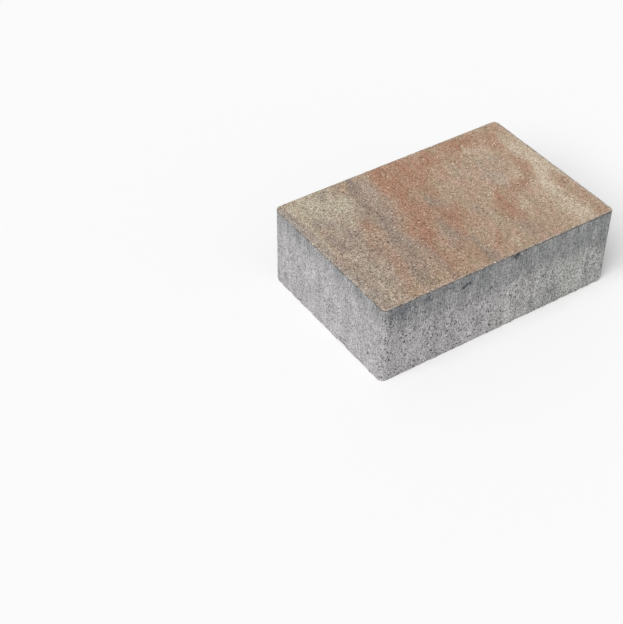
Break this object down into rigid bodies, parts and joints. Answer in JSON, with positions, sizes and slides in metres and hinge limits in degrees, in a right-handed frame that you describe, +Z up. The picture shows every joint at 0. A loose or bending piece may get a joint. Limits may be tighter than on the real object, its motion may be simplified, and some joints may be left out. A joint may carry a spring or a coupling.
{
  "type": "concrete paver",
  "caption": "Rectangular concrete paving block with rounded upright corners, a sandy colour-blended wearing face and rough grey sides, laid in sand to surface paths and drives.",
  "frame": {"origin": "centre of the bedding face, on the surface that the block lies on", "axes": "+X along the long side, +Y along the short side, +Z up through the wearing face"},
  "size_m": [0.248, 0.165, 0.08],
  "materials": {
    "concrete": "fine sandy face mix in blended tan, rust and grey-violet on top, rough grey pressed concrete on the sides"
  },
  "bodies": {
    "root": {"paver": "concrete"}
  },
  "joints": []
}
